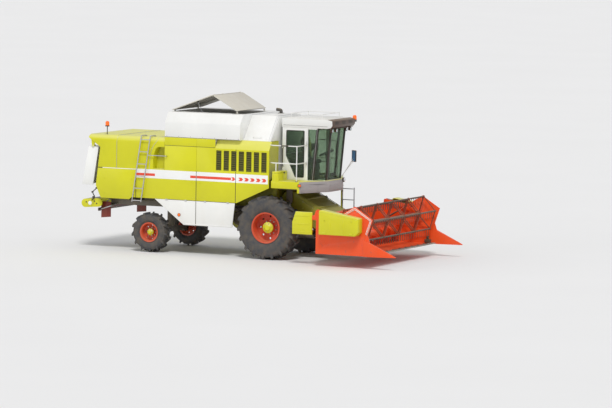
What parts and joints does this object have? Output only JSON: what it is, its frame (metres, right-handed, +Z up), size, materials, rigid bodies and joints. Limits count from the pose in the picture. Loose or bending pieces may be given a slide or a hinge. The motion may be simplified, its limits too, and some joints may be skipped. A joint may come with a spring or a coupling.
{
  "type": "combine harvester",
  "caption": "Self-propelled combine harvester with a raised grain header, tined reel, glazed cab, grain tank under half-open folding lids and a stored unloading tube.",
  "frame": {"origin": "middle of the footprint on the ground, on the middle plane of the machine", "axes": "+X forward towards the header, +Y to the left of the driver, +Z up"},
  "size_m": [10.1498, 5.18, 4.4709],
  "materials": {
    "lime_paint": "gloss paint with dust",
    "lime_dark": "gloss paint in shade with dust",
    "white_paint": "gloss paint",
    "header_red": "gloss paint, worn",
    "wheel_red": "gloss paint with dust",
    "bracket_red": "gloss paint",
    "frame_grey": "satin paint with dust",
    "axle_dark": "satin paint with grease",
    "engine_iron": "cast",
    "tyre_rubber": "dusty rubber",
    "lid_sheet": "satin sheet",
    "roof_shell": "satin moulding",
    "cab_glass": "tinted glass",
    "seat_cloth": "woven cloth",
    "console_grey": "grained moulding",
    "bright_steel": "galvanised tube",
    "rod_chrome": "polished rod",
    "barrel_black": "gloss paint",
    "knife_steel": "ground steel",
    "beacon_orange": "clear moulding"
  },
  "bodies": {
    "root": {"chassis": "frame_grey", "outriggers": "frame_grey", "thresher_housing": "lime_dark", "axles": "axle_dark", "engine": "engine_iron", "straw_hood": "lime_paint", "side_panels": "lime_paint", "skirt_panels": "white_paint", "grain_tank": "white_paint", "engine_hood": "white_paint", "cab_shell": "white_paint", "cab_roof": "roof_shell", "cab_glass": "cab_glass", "side_window_right": "white_paint", "seat": "seat_cloth", "driver_console": "console_grey", "platform": "lime_paint", "handrails": "white_paint", "ladders": "bright_steel", "unload_pivot": "lime_paint", "chopper": "lime_paint", "hitch": "bracket_red", "lamps": "beacon_orange"},
    "front_wheel_left": {"front_tyre_left": "tyre_rubber", "front_rim_left": "wheel_red"},
    "front_wheel_right": {"front_tyre_right": "tyre_rubber", "front_rim_right": "wheel_red"},
    "steer_left": {"knuckle_left": "axle_dark"},
    "steer_right": {"knuckle_right": "axle_dark"},
    "rear_wheel_left": {"rear_tyre_left": "tyre_rubber", "rear_rim_left": "wheel_red"},
    "rear_wheel_right": {"rear_tyre_right": "tyre_rubber", "rear_rim_right": "wheel_red"},
    "header": {"feeder_house": "lime_dark", "header_table": "header_red", "cutter_bar": "knife_steel", "drive_guards": "lime_paint"},
    "auger": {"header_auger": "header_red"},
    "reel_lift": {"reel_arms": "header_red"},
    "reel": {"reel": "header_red"},
    "lift_barrels": {"lift_barrels": "barrel_black"},
    "lift_rods": {"lift_rods": "rod_chrome"},
    "reel_barrels": {"reel_barrels": "barrel_black"},
    "reel_rods": {"reel_rods": "rod_chrome"},
    "unload_tube": {"unload_tube": "lime_paint"},
    "tank_lid_rear": {"tank_lid_rear": "lid_sheet"},
    "tank_lid_front": {"tank_lid_front": "lid_sheet"},
    "door_left": {"door_left": "white_paint", "door_glass_left": "cab_glass"},
    "tail_flap": {"tail_flap": "white_paint"}
  },
  "joints": [
    {"name": "front_wheel_left_spin", "type": "hinge", "parent": "root", "child": "front_wheel_left", "pos_m": [0.775, 1.21, 0.88], "axis": [0, 1, 0], "continuous": true},
    {"name": "front_wheel_right_spin", "type": "hinge", "parent": "root", "child": "front_wheel_right", "pos_m": [0.775, -1.21, 0.88], "axis": [0, 1, 0], "continuous": true},
    {"name": "steer_left", "type": "hinge", "parent": "root", "child": "steer_left", "pos_m": [-2.875, 0.9, 0.56], "axis": [0, 0, 1], "range_deg": [-35, 35]},
    {"name": "steer_right", "type": "hinge", "parent": "root", "child": "steer_right", "pos_m": [-2.875, -0.9, 0.56], "axis": [0, 0, 1], "range_deg": [-35, 35]},
    {"name": "rear_wheel_left_spin", "type": "hinge", "parent": "steer_left", "child": "rear_wheel_left", "pos_m": [-2.875, 1.2, 0.56], "axis": [0, 1, 0], "continuous": true},
    {"name": "rear_wheel_right_spin", "type": "hinge", "parent": "steer_right", "child": "rear_wheel_right", "pos_m": [-2.875, -1.2, 0.56], "axis": [0, 1, 0], "continuous": true},
    {"name": "header_lift", "type": "hinge", "parent": "root", "child": "header", "pos_m": [1.125, 0, 1.6], "axis": [0, -1, 0], "range_deg": [-4.5, 12]},
    {"name": "auger_spin", "type": "hinge", "parent": "header", "child": "auger", "pos_m": [2.975, 0, 0.629], "axis": [0, 1, 0], "continuous": true},
    {"name": "reel_lift", "type": "hinge", "parent": "header", "child": "reel_lift", "pos_m": [2.735, 0, 1.5], "axis": [0, -1, 0], "range_deg": [0, 18]},
    {"name": "reel_spin", "type": "hinge", "parent": "reel_lift", "child": "reel", "pos_m": [3.795, 0, 1.17], "axis": [0, 1, 0], "continuous": true},
    {"name": "lift_barrel_swing", "type": "hinge", "parent": "root", "child": "lift_barrels", "pos_m": [0.975, 0, 0.62], "axis": [0, -1, 0], "range_deg": [-4.5, 11]},
    {"name": "lift_rod_slide", "type": "slide", "parent": "lift_barrels", "child": "lift_rods", "axis": [1, 0, 0], "range_m": [-0.08, 0.21]},
    {"name": "reel_barrel_swing", "type": "hinge", "parent": "header", "child": "reel_barrels", "pos_m": [2.785, 0, 1.01], "axis": [0, -1, 0], "range_deg": [0, 12.5]},
    {"name": "reel_rod_slide", "type": "slide", "parent": "reel_barrels", "child": "reel_rods", "axis": [0.8643, 0, 0.5029], "range_m": [0, 0.14]},
    {"name": "unload_swing", "type": "hinge", "parent": "root", "child": "unload_tube", "pos_m": [0.135, 1.62, 2.79], "axis": [0, 0, -1], "range_deg": [0, 95]},
    {"name": "tank_lid_rear_fold", "type": "hinge", "parent": "root", "child": "tank_lid_rear", "pos_m": [-2.365, 0, 3.985], "axis": [0, -1, 0], "range_deg": [-16.5, 0]},
    {"name": "tank_lid_front_fold", "type": "hinge", "parent": "tank_lid_rear", "child": "tank_lid_front", "pos_m": [-1.085, 0, 4.455], "axis": [0, -1, 0], "range_deg": [0, 43.5]},
    {"name": "door_left_swing", "type": "hinge", "parent": "root", "child": "door_left", "pos_m": [1.631, 0.758, 2.9], "axis": [0, 0, -1], "range_deg": [0, 70]},
    {"name": "tail_flap_swing", "type": "hinge", "parent": "root", "child": "tail_flap", "pos_m": [-4.665, 0, 2.915], "axis": [0, 1, 0], "range_deg": [0, 55]}
  ],
  "couplings": [
    {"joint": "steer_right", "follows": "steer_left", "ratio": 1},
    {"joint": "lift_barrel_swing", "follows": "header_lift", "ratio": 0.845},
    {"joint": "lift_rod_slide", "follows": "header_lift", "m_per_rad": 0.9675},
    {"joint": "reel_barrel_swing", "follows": "reel_lift", "ratio": 0.6525},
    {"joint": "reel_rod_slide", "follows": "reel_lift", "m_per_rad": 0.4275},
    {"joint": "tank_lid_front_fold", "follows": "tank_lid_rear_fold", "ratio": -2.625}
  ]
}
